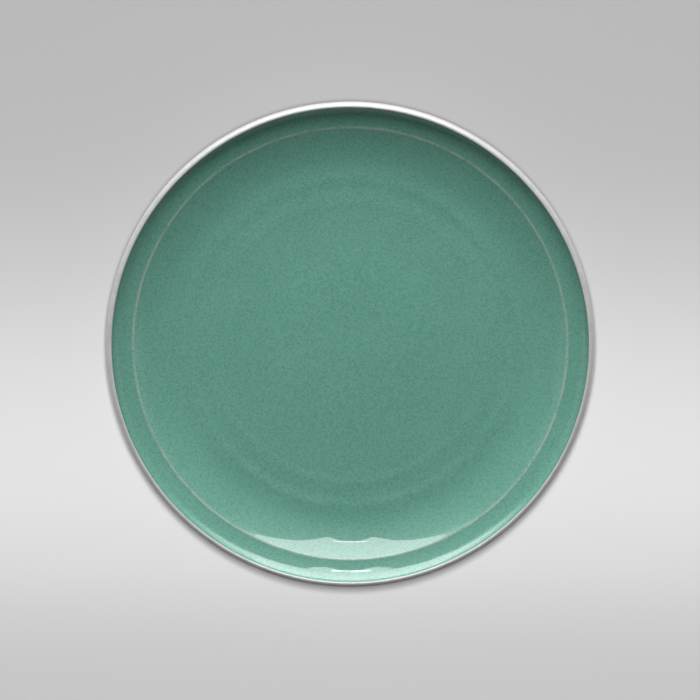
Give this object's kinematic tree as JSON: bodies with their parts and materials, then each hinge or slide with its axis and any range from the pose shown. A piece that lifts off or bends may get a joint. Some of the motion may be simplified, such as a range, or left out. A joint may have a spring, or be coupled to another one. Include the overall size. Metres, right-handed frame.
{
  "type": "dinner plate",
  "caption": "Round stepped coupe dinner plate in glazed clay, with a green well, a crest line, a white lip and a turned foot ring.",
  "frame": {"origin": "on the plate's axis, in the plane of the foot ring's resting face", "axes": "+Z is the plate's axis, pointing up out of the well; the plate is round, so X and Y are any two directions across it"},
  "size_m": [0.267, 0.267, 0.0235],
  "materials": {
    "fired_clay": "bare fired clay, fine grained and matt",
    "green_glaze": "glossy, finely speckled",
    "thin_glaze": "glossy, thin enough to show the clay",
    "white_gloss_glaze": "gloss",
    "white_satin_glaze": "satin"
  },
  "bodies": {
    "root": {"clay_body": "fired_clay", "well_glaze": "green_glaze", "crest_glaze": "thin_glaze", "shoulder_glaze": "green_glaze", "rim_glaze": "white_gloss_glaze", "back_glaze": "white_satin_glaze", "recess_glaze": "white_satin_glaze"}
  },
  "joints": []
}
